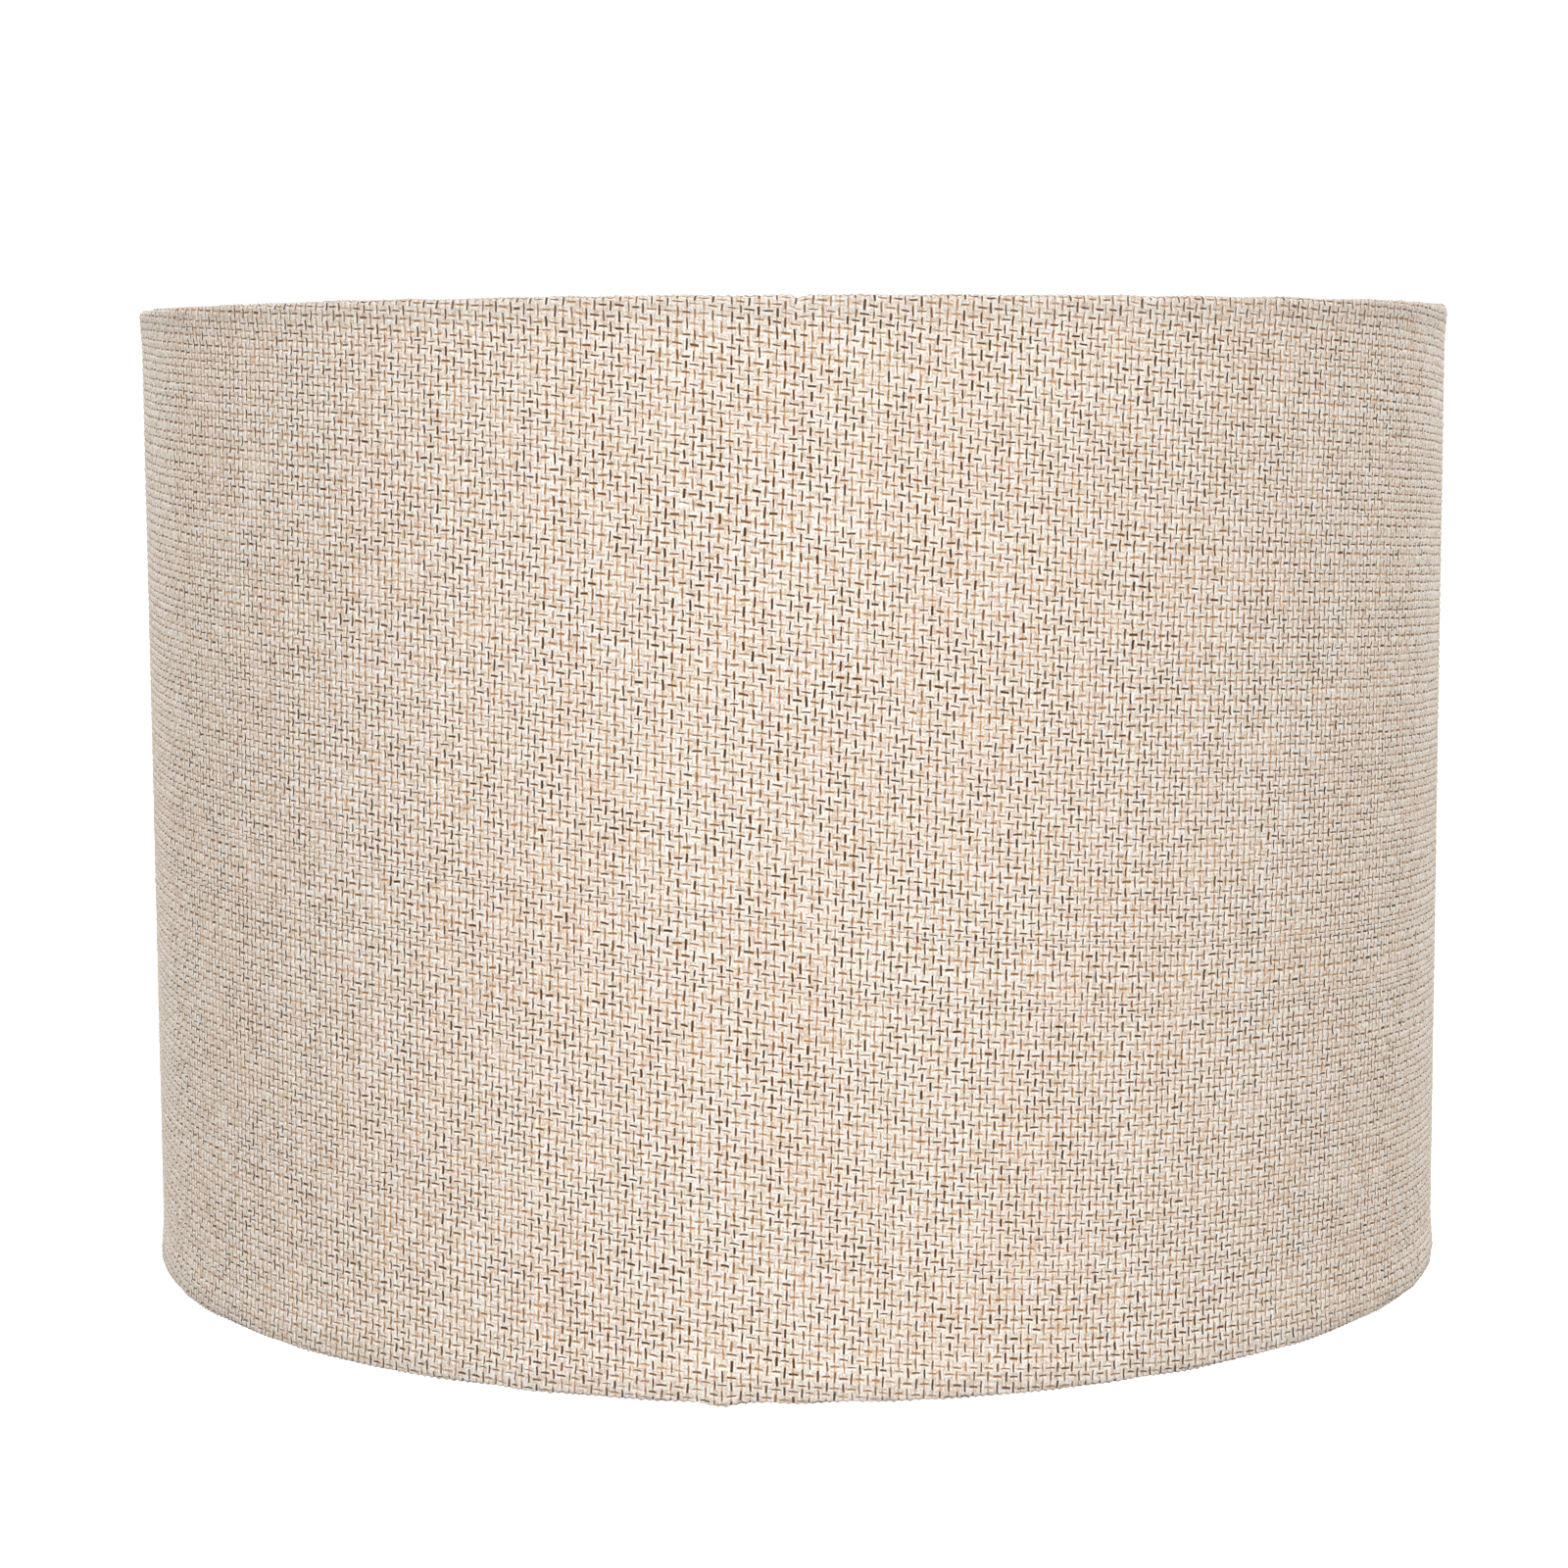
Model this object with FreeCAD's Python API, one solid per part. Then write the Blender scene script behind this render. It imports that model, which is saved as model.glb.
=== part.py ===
"""Drum lamp shade: laminated linen cover, wire rings, spoked fitter and lift-out reducer.

Millimetres, +Z up. The origin is the centre of the bottom rim's resting plane.
The front of the shade faces -Y.
"""
import FreeCAD
import Part

import math
import os

V = FreeCAD.Vector
UP = V(0, 0, 1)
CENTRE = V(0, 0, 0)

# Driving dimensions
shade_diameter = 302.5
shade_height = 220.0
cloth = 0.7                     # thickness of the woven cover
liner = 0.35                    # thickness of the stiff plastic lining
glue_film = 0.05                # gap left for each layer of adhesive
ring_wire = 3.2                 # diameter of the two hoops
tape = 0.11                     # double-sided tape round each hoop
tape_gap = 0.02                 # on each side of that tape

# The sheet of cloth and lining closes in a lap joint
seam_azimuth = 105.0            # where the inner end starts, a little off the back
lap_width = 11.0
seam_tape = 0.15
ramp_angle = 12.0               # the outer end climbs over the inner end in this angle

# Rolled hems
corner_outside = 1.2
corner_inside = corner_outside - cloth
tuck_end_angle = 375.0          # the cloth goes round the hoop and its raw edge is tucked behind
sheet_end_gap = 1.3             # from the rim plane to the edge of the lining
hem_overlap = 0.4               # the wall's rim and the cloth round the hoop run into each other

# Slits in the top hem, one over each spoke
slit_start = 5.0                # inwards from the hoop's centreline
slit_length = 5.85
slit_depth = 8.0                # below the rim plane
slit_low_width = 6.0            # below the spoke's centreline
slit_high_width = 2.4           # just above the rim plane

# Fitter
fitter_drop = 22.0              # from the top rim plane down to the fitter's top face
fitter_bore = 42.0
fitter_outside = 58.0
fitter_sheet = 1.2
fitter_inner_flange = 3.0       # depth of the turned-down flange round the bore
fitter_outer_flange = 4.0
fitter_edge_fillet = 0.8

# Spokes
spoke_wire = 3.0
spoke_azimuths = {"front": 270.0, "back_right": 30.0, "back_left": 150.0}
spoke_bend = 10.0               # bend radius on the wire's centreline
spoke_level_run = 13.0          # from the hoop's centreline to the corner where it starts down
spoke_low_corner = 41.0         # radius where it levels out again
spoke_inner_end = 24.6          # radius of its cut end on the fitter
spoke_end_gap = 0.05            # between a spoke's outer end and the hoop, inside the weld

# Weld beads
rim_bead_thick = 2.1            # radius at the hoop
rim_bead_thin = 1.6             # radius where it runs out on the spoke
rim_bead_length = 4.0
rim_bead_sunk = 0.1             # how far it starts inside the hoop's centreline
fitter_bead_start = 24.9
fitter_bead_length = 3.6
fitter_bead_size = 2.5
fitter_bead_root_gap = 0.6      # under the wire, between its two fillets

# Reducer ring
reducer_bore = 29.0
reducer_flange = 47.0
reducer_plate = 1.4
reducer_collar = 1.5            # wall round the bore
reducer_collar_depth = 3.0      # from the top face
reducer_skirt_wall = 1.4
reducer_skirt_depth = 4.2       # below the fitter's top face
reducer_slot = 3.0              # two cuts across the skirt leave four fingers that can spring
reducer_fit = 0.08              # radial clearance of the skirt in the fitter's bore
reducer_lead_in = 0.5           # chamfers on the flange and at the skirt's end

# Worked out from the driving dimensions
radius = shade_diameter / 2
liner_outside = radius - cloth - glue_film
liner_inside = liner_outside - liner
hoop_wire_radius = ring_wire / 2
wrap_inside = hoop_wire_radius + tape + 2 * tape_gap
wrap_outside = wrap_inside + cloth
hoop_radius = liner_inside - glue_film - wrap_outside
bottom_hoop_z = wrap_outside
top_hoop_z = shade_height - wrap_outside
lap_rise = cloth + glue_film + liner + seam_tape + 2 * glue_film
lap_angle = math.degrees(lap_width / radius)
fitter_top_z = shade_height - fitter_drop
spoke_radius = spoke_wire / 2
spoke_end_x = hoop_radius - hoop_wire_radius - spoke_end_gap


def line(start, end):
    """A straight edge."""
    return Part.LineSegment(start, end).toShape()


def arc(centre, size, start_angle, end_angle):
    """A circular edge in the XZ plane, angles in degrees from +X towards +Z."""
    points = []
    for angle in (start_angle, (start_angle + end_angle) / 2, end_angle):
        turn = math.radians(angle)
        points.append(centre + V(size * math.cos(turn), 0, size * math.sin(turn)))
    return Part.Arc(*points).toShape()


def polygon(points):
    """A flat face from its corners."""
    return Part.Face(Part.makePolygon(points + [points[0]]))


def face_of(edges):
    """A flat face from a closed loop of edges."""
    return Part.Face(Part.Wire(Part.__sortEdges__(edges)))


def turned(face, start=0.0, sweep=360.0, centre=CENTRE):
    """A profile in the XZ plane revolved about a vertical axis through centre, from an azimuth."""
    solid = face.revolve(CENTRE, UP, sweep)
    solid.rotate(CENTRE, UP, start)
    solid.translate(centre)
    return solid


def moved_out(face, distance):
    """A profile moved away from the axis, or towards it."""
    copy = face.copy()
    copy.translate(V(distance, 0, 0))
    return copy


def placed_round(solid, azimuth):
    """A copy of a solid turned about the shade's axis."""
    copy = solid.copy()
    copy.rotate(CENTRE, UP, azimuth)
    return copy


def one(parts):
    """Fuses overlapping solids into one and merges their faces."""
    return parts[0].multiFuse(parts[1:]).removeSplitter()


def fused_at_lap(face_at):
    """A sheet that runs once round the shade, climbs a ramp and laps over its own start.

    face_at(rise, trimmed) gives the sheet's section. The ramp is two arcs that meet each other,
    the drum and the lap at a tangent: a flatter one, whose centre lies behind the drum's, and a
    tighter one, whose centre lies as far in front of it.
    """
    half = ramp_angle / 2
    flatness = 1 - math.cos(math.radians(ramp_angle))
    centre_shift = lap_rise * (2 + math.sqrt(4 - 2 * flatness)) / (2 * flatness)
    ramp_start = seam_azimuth - ramp_angle
    ramp_end_way = math.radians(ramp_angle)
    plain = face_at(0.0, False)
    lapped = face_at(lap_rise, False)
    flatter = turned(moved_out(plain, centre_shift), 0.0, half, V(-centre_shift, 0, 0))
    tighter = turned(moved_out(lapped, -centre_shift), half, half,
                     V(math.cos(ramp_end_way), math.sin(ramp_end_way), 0) * centre_shift)
    stretches = [
        turned(face_at(0.0, True), seam_azimuth, lap_angle),
        turned(plain, seam_azimuth + lap_angle, 360.0 - lap_angle - ramp_angle),
        placed_round(flatter, ramp_start),
        placed_round(tighter, ramp_start),
        turned(lapped, seam_azimuth, lap_angle),
    ]
    return one(stretches)


def liner_section(rise, trimmed):
    """The lining's section: a plain strip, whether or not it lies under the lap."""
    low = V(liner_inside + rise, 0, sheet_end_gap)
    high = V(liner_outside + rise, 0, shade_height - sheet_end_gap)
    return polygon([low, V(high.x, 0, low.z), high, V(low.x, 0, high.z)])


def cover_section(rise, trimmed):
    """The cover's wall with its turned-in rims, or the wall alone where it lies under the lap."""
    outside = radius + rise
    inside = outside - cloth
    if trimmed:
        top = shade_height - sheet_end_gap
        return polygon([V(inside, 0, sheet_end_gap), V(outside, 0, sheet_end_gap),
                        V(outside, 0, top), V(inside, 0, top)])
    corner_x = outside - corner_outside
    flat_x = hoop_radius + rise
    low = corner_outside
    high = shade_height - corner_outside
    low_corner = V(corner_x, 0, low)
    high_corner = V(corner_x, 0, high)
    edges = [
        line(V(flat_x, 0, 0), V(corner_x, 0, 0)),
        arc(low_corner, corner_outside, -90, 0),
        line(V(outside, 0, low), V(outside, 0, high)),
        arc(high_corner, corner_outside, 0, 90),
        line(V(corner_x, 0, shade_height), V(flat_x, 0, shade_height)),
        line(V(flat_x, 0, shade_height), V(flat_x, 0, shade_height - cloth)),
        line(V(flat_x, 0, shade_height - cloth), V(corner_x, 0, shade_height - cloth)),
        arc(high_corner, corner_inside, 90, 0),
        line(V(inside, 0, high), V(inside, 0, low)),
        arc(low_corner, corner_inside, 0, -90),
        line(V(corner_x, 0, cloth), V(flat_x, 0, cloth)),
        line(V(flat_x, 0, cloth), V(flat_x, 0, 0)),
    ]
    return face_of(edges)


def wrap_section(hoop_z, side):
    """The cloth that goes over a hoop, down inside it and up behind. side is 1 at the top rim."""
    centre = V(hoop_radius, 0, hoop_z)
    flat_end = radius - corner_outside - hem_overlap
    start, end = side * 90.0, side * tuck_end_angle
    tip = math.radians(end)
    direction = V(math.cos(tip), 0, math.sin(tip))
    outer_start = centre + V(0, 0, side * wrap_outside)
    inner_start = centre + V(0, 0, side * wrap_inside)
    edges = [
        line(V(flat_end, 0, outer_start.z), outer_start),
        arc(centre, wrap_outside, start, end),
        line(centre + direction * wrap_outside, centre + direction * wrap_inside),
        arc(centre, wrap_inside, end, start),
        line(inner_start, V(flat_end, 0, inner_start.z)),
        line(V(flat_end, 0, inner_start.z), V(flat_end, 0, outer_start.z)),
    ]
    return face_of(edges)


def slit():
    """The V-shaped cut that lets a spoke through the top hem, on the +X side."""
    low = shade_height - slit_depth
    high = shade_height + 1.0
    bottom_half, top_half = slit_low_width / 2, slit_high_width / 2
    start = hoop_radius - slit_start
    outline = polygon([V(start, -bottom_half, low), V(start, bottom_half, low),
                       V(start, bottom_half, top_hoop_z), V(start, top_half, high),
                       V(start, -top_half, high), V(start, -bottom_half, top_hoop_z)])
    return outline.extrude(V(slit_length, 0, 0))


def cut_by_slits(solid):
    """A rim piece with its three slits."""
    return solid.cut([placed_round(slit(), azimuth) for azimuth in spoke_azimuths.values()])


def outer_cover():
    """The woven cover: one cloth, lapped at the seam, rolled over both hoops, slit at the spokes."""
    wall = fused_at_lap(cover_section)
    top = cut_by_slits(turned(wrap_section(top_hoop_z, 1)))
    bottom = turned(wrap_section(bottom_hoop_z, -1))
    return one([wall, top, bottom])


def inner_liner():
    """The stiff white sheet that the cover is laminated to."""
    return fused_at_lap(liner_section)


def seam_strip():
    """The double-sided tape inside the lap joint."""
    margin = 0.5
    low = sheet_end_gap + margin
    high = shade_height - low
    inside = radius + glue_film
    section = polygon([V(inside, 0, low), V(inside + seam_tape, 0, low),
                       V(inside + seam_tape, 0, high), V(inside, 0, high)])
    edge = math.degrees(margin / radius)
    return turned(section, seam_azimuth + edge, lap_angle - 2 * edge)


def hoop(hoop_z):
    """A butt-welded wire hoop."""
    return Part.makeTorus(hoop_radius, hoop_wire_radius, V(0, 0, hoop_z), UP)


def hoop_tape(hoop_z):
    """The tape round a hoop, as a thin sleeve."""
    inside = hoop_wire_radius + tape_gap
    centre = V(0, 0, hoop_z)
    sleeve = Part.makeTorus(hoop_radius, inside + tape, centre, UP)
    return sleeve.cut(Part.makeTorus(hoop_radius, inside, centre, UP))


def bent_path(points, bend):
    """Straight runs in the XZ plane joined by tangent arcs of one radius."""
    edges = []
    last = points[0]
    for before, corner, after in zip(points, points[1:], points[2:]):
        back = (before - corner).normalize()
        on = (after - corner).normalize()
        half_turn = (math.pi - back.getAngle(on)) / 2
        reach = bend * math.tan(half_turn)
        bisector = (back + on).normalize()
        middle = corner + bisector * (bend / math.cos(half_turn) - bend)
        start, end = corner + back * reach, corner + on * reach
        edges.append(line(last, start))
        edges.append(Part.Arc(start, middle, end).toShape())
        last = end
    edges.append(line(last, points[-1]))
    return Part.Wire(edges)


def spoke():
    """One spoke on the +X side: from the hoop inwards, down to the fitter, and flat on top of it."""
    fitter_z = fitter_top_z + spoke_radius
    path = bent_path([V(spoke_end_x, 0, top_hoop_z), V(hoop_radius - spoke_level_run, 0, top_hoop_z),
                      V(spoke_low_corner, 0, fitter_z), V(spoke_inner_end, 0, fitter_z)], spoke_bend)
    circle = Part.makeCircle(spoke_radius, V(spoke_end_x, 0, top_hoop_z), V(-1, 0, 0))
    return path.makePipeShell([Part.Wire(circle)], True, False)


def spoke_rim_bead(spoke_solid, hoop_solid):
    """The weld bead round a spoke's outer end, lapping a little over the hoop."""
    start = V(hoop_radius - rim_bead_sunk, 0, top_hoop_z)
    bead = Part.makeCone(rim_bead_thick, rim_bead_thin, rim_bead_length, start, V(-1, 0, 0))
    return bead.cut([spoke_solid, hoop_solid])


def spoke_fitter_bead(spoke_solid):
    """The two weld fillets along a spoke's inner end, apart by the root gap under the wire."""
    start, length, size = fitter_bead_start, fitter_bead_length, fitter_bead_size
    gap = fitter_bead_root_gap
    bead = Part.makeCylinder(size, length, V(start, 0, fitter_top_z), V(1, 0, 0))
    below = Part.makeBox(length, 2 * size, size, V(start, -size, fitter_top_z - size))
    root = Part.makeBox(length, gap, gap, V(start, -gap / 2, fitter_top_z))
    return bead.cut([below, root, spoke_solid])


def fitter_ring():
    """The pressed steel ring: a flat web with a turned-down flange at its bore and at its rim."""
    bore, outside = fitter_bore / 2, fitter_outside / 2
    web_z = fitter_top_z - fitter_sheet
    inner_z = fitter_top_z - fitter_inner_flange
    outer_z = fitter_top_z - fitter_outer_flange
    section = polygon([V(bore, 0, fitter_top_z), V(outside, 0, fitter_top_z),
                       V(outside, 0, outer_z), V(outside - fitter_sheet, 0, outer_z),
                       V(outside - fitter_sheet, 0, web_z), V(bore + fitter_sheet, 0, web_z),
                       V(bore + fitter_sheet, 0, inner_z), V(bore, 0, inner_z)])
    ring = turned(section)
    rims = [edge for edge in ring.Edges if edge.BoundBox.ZLength < 0.01
            and edge.BoundBox.ZMin > fitter_top_z - 0.01
            and edge.BoundBox.XMax > outside - 0.01]
    return ring.makeFillet(fitter_edge_fillet, rims)


def reducer_ring():
    """The plastic reducer: a flange on the fitter, a slotted skirt in its bore, and its own bore's collar."""
    bore, rim = reducer_bore / 2, reducer_flange / 2
    skirt = fitter_bore / 2 - reducer_fit
    top = fitter_top_z + reducer_plate
    collar_z = top - reducer_collar_depth
    skirt_z = fitter_top_z - reducer_skirt_depth
    lead_in = reducer_lead_in
    section = polygon([V(bore, 0, top), V(rim - lead_in, 0, top), V(rim, 0, top - lead_in),
                       V(rim, 0, fitter_top_z), V(skirt, 0, fitter_top_z),
                       V(skirt, 0, skirt_z + lead_in), V(skirt - lead_in, 0, skirt_z),
                       V(skirt - reducer_skirt_wall, 0, skirt_z),
                       V(skirt - reducer_skirt_wall, 0, fitter_top_z),
                       V(bore + reducer_collar, 0, fitter_top_z),
                       V(bore + reducer_collar, 0, collar_z), V(bore, 0, collar_z)])
    ring = turned(section)
    slot = Part.makeBox(2 * skirt + 2, reducer_slot, reducer_skirt_depth + 1,
                        V(-skirt - 1, -reducer_slot / 2, skirt_z - 1))
    hub = Part.makeCylinder(bore + reducer_collar + 0.5, reducer_skirt_depth + 1, V(0, 0, skirt_z - 1))
    slots = [placed_round(slot.cut(hub), azimuth) for azimuth in (0, 90)]
    return ring.cut(slots)


def save(name, shape):
    """Writes one node and reports its solids and box."""
    box = shape.BoundBox
    print(f"{name}: {len(shape.Solids)} solid(s), valid {shape.isValid()}, {shape.Volume:.0f} mm3, "
          f"x {box.XMin:.2f}..{box.XMax:.2f} y {box.YMin:.2f}..{box.YMax:.2f} "
          f"z {box.ZMin:.2f}..{box.ZMax:.2f}")
    shape.exportStep(f"parts/{name}.step")


def main():
    os.makedirs("parts", exist_ok=True)
    top_ring = hoop(top_hoop_z)
    first_spoke = spoke()
    rim_bead = spoke_rim_bead(first_spoke, top_ring)
    fitter_bead = spoke_fitter_bead(first_spoke)
    around = spoke_azimuths.values()

    save("outer_cover", outer_cover())
    save("inner_liner", inner_liner())
    save("seam_tape", seam_strip())
    save("top_ring", top_ring)
    save("bottom_ring", hoop(bottom_hoop_z))
    save("top_ring_tape", cut_by_slits(hoop_tape(top_hoop_z)))
    save("bottom_ring_tape", hoop_tape(bottom_hoop_z))
    for place, azimuth in spoke_azimuths.items():
        save(f"spoke_{place}", placed_round(first_spoke, azimuth))
    save("spoke_rim_welds", Part.makeCompound([placed_round(rim_bead, a) for a in around]))
    save("spoke_fitter_welds", Part.makeCompound([placed_round(fitter_bead, a) for a in around]))
    save("fitter_ring", fitter_ring())
    save("reducer_ring", reducer_ring())


main()
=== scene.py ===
"""The looks of a drum lamp shade in coarse linen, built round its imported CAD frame.

Meshes are worked out in millimetres in the frame's own axes and scaled to metres at the end.
The cloth is one lapped sheet. Its grid follows the yarns, so every crossing is a bump in the mesh.
"""
import math

import bpy
import numpy as np
from mathutils import Matrix, Vector


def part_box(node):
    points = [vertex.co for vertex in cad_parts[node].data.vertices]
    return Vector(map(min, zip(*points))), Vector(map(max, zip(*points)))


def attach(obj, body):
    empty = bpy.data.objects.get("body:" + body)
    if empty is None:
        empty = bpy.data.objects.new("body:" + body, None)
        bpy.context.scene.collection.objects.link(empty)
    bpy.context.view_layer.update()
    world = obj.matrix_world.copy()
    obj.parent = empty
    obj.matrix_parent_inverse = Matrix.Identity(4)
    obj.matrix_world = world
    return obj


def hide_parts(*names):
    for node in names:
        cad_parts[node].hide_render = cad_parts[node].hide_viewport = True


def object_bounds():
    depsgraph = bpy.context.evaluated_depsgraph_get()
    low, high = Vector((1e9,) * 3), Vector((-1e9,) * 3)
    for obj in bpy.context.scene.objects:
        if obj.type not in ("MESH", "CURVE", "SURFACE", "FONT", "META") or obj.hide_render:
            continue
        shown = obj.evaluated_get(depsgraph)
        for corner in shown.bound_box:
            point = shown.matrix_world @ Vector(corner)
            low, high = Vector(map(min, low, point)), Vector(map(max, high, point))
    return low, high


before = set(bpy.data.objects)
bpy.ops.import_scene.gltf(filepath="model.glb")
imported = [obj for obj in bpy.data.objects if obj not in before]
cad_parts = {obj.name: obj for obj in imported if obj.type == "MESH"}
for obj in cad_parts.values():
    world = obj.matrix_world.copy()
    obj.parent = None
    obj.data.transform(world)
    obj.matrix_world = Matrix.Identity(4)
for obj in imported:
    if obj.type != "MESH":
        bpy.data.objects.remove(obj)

cad_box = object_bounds()

MM = 0.001

# The shade's own sizes, from the frame
RADIUS = cad_box[1].x / MM
HEIGHT = cad_box[1].z / MM
HOOP_LOW, HOOP_HIGH = (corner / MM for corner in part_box("bottom_ring"))
HOOP_WIRE = HOOP_HIGH.z - HOOP_LOW.z
HOOP_Z = (HOOP_LOW.z + HOOP_HIGH.z) / 2
HOOP_RADIUS = HOOP_HIGH.x - HOOP_WIRE / 2
LINER_LOW, LINER_HIGH = (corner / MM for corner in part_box("inner_liner"))
LINER_OUTSIDE = LINER_HIGH.x

# Cloth and lining
CLOTH_SEED = 11
LINING_SEED = 5
CLOTH = 0.7                     # thickness
LINER = 0.35                    # thickness
LINER_STEPS = 720               # round the drum
LINER_ROWS = 30
RIPPLE = 0.05                   # how far the cloth's unevenness shows through it
RIPPLE_WAVES = 90
WARP_PITCH = 1.667
WEFT_PITCH = 1.81
WARP_LEAN = math.radians(1.3)
WEFT_SLANT = 2.6                # degrees, all round
FRONT_SLANT = 3.9               # degrees more at the front
FRONT = math.radians(270.0)
FRONT_WIDTH = 0.48              # half the angle that the extra slant spreads over, in radians
DROP_STEPS = 2000               # samples of the weft's drift along the sheet
SPARE_WEFTS = 6                 # half of them at each rim, for the uneven spacing to use up
WARP_UNEVEN = 0.10              # spread of the yarns' spacing, as a share of it
WEFT_UNEVEN = 0.16
NARROWEST = 0.55                # of the yarns' spacings, as shares of the mean
WIDEST = 1.6
WANDER = 0.15                   # how far a yarn strays from its line
WANDER_YARNS = 6                # it changes over about this many yarns
SLUB_YARNS = 7                  # a thick stretch comes and goes over about this many
STRAIGHT_END = 15.0             # warps are straight at the sheet's ends and wander freely this far in
WARP_EDGE = 0.30                # a yarn's edge below its crown
WEFT_EDGE = 0.18
HOLE_DEPTH = 0.45               # the corner between four crossings below the crowns
SLUB = 0.10                     # how far the thickest stretches of yarn stand up

# Lap joint: the sheet starts at the seam, goes once round and climbs over its own start
SEAM = math.radians(105.0)
LAP_WIDTH = 11.0
RAMP = math.radians(12.0)
LAP_RISE = 1.35
LAP_TRIM = 0.5                  # below the lap, the sheet's start ends this far past the corner
SHEET_LENGTH = 2 * math.pi * RADIUS + LAP_WIDTH

# Wall and hems
WALL_INSET = 0.25               # the wall's face inside the widest radius
TUCK_END = 375.0                # the tucked edge, in degrees from outwards, down and round the hoop
HEM_CORNER = 0.8                # radius where the wall turns over the hoop
HEM_BULGE = 0.5                 # the rolled rim stands this far out from the wall
HEM_BAND = 10.0                 # height of the bulge
HEM_BAND_STEPS = 14
SECTION_STEPS = 2600            # samples along the section
SOFTENED_STEPS = 11             # its outward direction is a running mean over these
HEM_SHADE = 4.5                 # the hem's darker band fades over this height
HEM_SHADE_REACH = 1.6           # and ends this many such heights from the rim
RISE_FADE = 3.5                 # the lap's rise dies out in this length over the hoop

# Slits in the top hem, at the spokes
SPOKES = [math.radians(angle) for angle in (270.0, 30.0, 150.0)]
SLIT_START = 1.4                # past the rim's corner, on the way over the hoop
SLIT_PLACES = (0.0, 0.1, 1.6, 4.6)      # lengths past its start, and half its width there
SLIT_HALF_GAPS = (0.0, 0.3, 1.4, 3.0)
SLIT_SPREAD = 5.0               # the yarns beside a slit bunch up over this length
CUT_END = 0.4                   # a raw edge shows the yarns' inside, this far on in the weave

# Uneven rims
RIM_WAVES = 320                 # ups and downs in two turns
RIM_REACH = 9.0                 # they end this far from the rim
RIM_FADE = 8.0                  # and grow over this height
RIM_UNEVEN = 0.09
RIM_SETTLED = 0.1               # the rims lie this much inside the full height
NOTCH_SHIFT = math.radians(0.45)        # beside the spoke
NOTCH_DEPTH = 0.6
NOTCH_WIDTH = 1.15
LUMP_TURN = math.radians(264.2)
LUMP_WIDTH = 3.5
LUMP_OUT = 0.3
LUMP_DOWN = 0.7

# Colours, as linear red, green and blue
CREAM = (0.90, 0.83, 0.80)
YELLOW_CREAM = (0.87, 0.835, 0.69)
PATCH_TAN = (0.87, 0.72, 0.60)
GREY_BEIGE = (0.56, 0.50, 0.44)
FIBRE_SHADE = (0.62, 0.46, 0.33)
THICK_RUN = (0.62, 0.45, 0.31)
BROWN_FLECK = (0.58, 0.37, 0.23)
PALE_FLECK = (0.98, 0.95, 0.91)
LIT_FIBRE = (1.0, 0.98, 0.95)
# painted shade along the edges where yarns meet
EDGE_SHADE_BROWN = (0.56, 0.30, 0.13)
# painted shade in the slits between yarns: a brown edge and a near-black middle
SLIT_EDGE_SHADE = (0.54, 0.29, 0.13)
SLIT_SHADE = (0.06, 0.035, 0.017)
HEM_GREY = (0.30, 0.27, 0.24)
LINING_WHITE = (0.84, 0.83, 0.80)
LINING_CREAM = (0.80, 0.785, 0.75)
CLOTH_BEHIND = (0.70, 0.65, 0.57)
WIRE_WHITE = (0.82, 0.82, 0.80)
SHEET_WHITE = (0.84, 0.84, 0.82)
MOULDED_WHITE = (0.84, 0.84, 0.82)
MOULDED_FLOW = (0.80, 0.80, 0.775)
TAPE_PALE = (0.74, 0.70, 0.60)
# painted shade in the tape's creases
TAPE_CREASE_SHADE = (0.66, 0.61, 0.50)

# Studio and camera, in metres, watts and radians
SKY_SEEN = 1.08                 # strength of the surroundings to the camera
SKY_LIGHT = 0.30                # and as light on the shade
AIM = (0.0, 0.0, 0.11)
NEUTRAL = (1.0, 1.0, 1.0)
WARM = (1.0, 0.97, 0.90)
LIGHTS = {                      # place, width, height, power and tint
    "front_key": ((0.05, -2.7, 1.0), 2.0, 1.6, 69.0, NEUTRAL),
    "overhead": ((0.0, -0.2, 2.4), 2.4, 2.4, 16.0, NEUTRAL),
    "rim_left": ((-1.8, 1.9, 0.7), 1.2, 1.6, 42.0, WARM),
    "rim_right": ((1.8, 1.9, 0.7), 1.2, 1.6, 42.0, WARM),
}
FLOOR_REACH = 6.0               # each way from the middle
FLOOR_LEVEL = -0.0008           # just below the lump on the bottom rim
FLOOR_WHITE = (0.82, 0.82, 0.82, 1.0)
FLOOR_GLOW = 0.90
CAMERA_PLACE = (0.0, -0.8360, 0.2017)
CAMERA_LENS = 80.84             # millimetres, as is the sensor's width
CAMERA_SENSOR = 36.0
CAMERA_PITCH = 0.1117
CAMERA_ROLL = -0.0047
CAMERA_YAW = -0.0031


def smooth(x):
    """0 to 1 with level ends."""
    x = np.clip(x, 0.0, 1.0)
    return x * x * (3 - 2 * x)


def slow_noise(rng, lines, samples, knots):
    """A smooth random value along each of several lines, mostly between -1 and 1."""
    coarse = rng.normal(0.0, 0.5, (lines, knots + 1))
    place = np.linspace(0, knots, samples)
    left = np.minimum(place.astype(int), knots - 1)
    part = smooth(place - left)
    return coarse[:, left] * (1 - part) + coarse[:, left + 1] * part


def with_edges(values):
    """Values at yarn centres, with the mean of two neighbours put in at each edge."""
    padded = np.concatenate([values[:1], values, values[-1:]])
    out = np.empty((2 * len(values) + 1,) + values.shape[1:])
    out[1::2] = values
    out[0::2] = (padded[:-1] + padded[1:]) / 2
    return out


def yarn_edges(rng, yarns, length, uneven):
    """Where each yarn's edge lies on a length shared out unevenly."""
    widths = np.clip(1 + uneven * rng.normal(size=yarns), NARROWEST, WIDEST)
    return np.concatenate([[0], np.cumsum(widths)]) * length / widths.sum()


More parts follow.
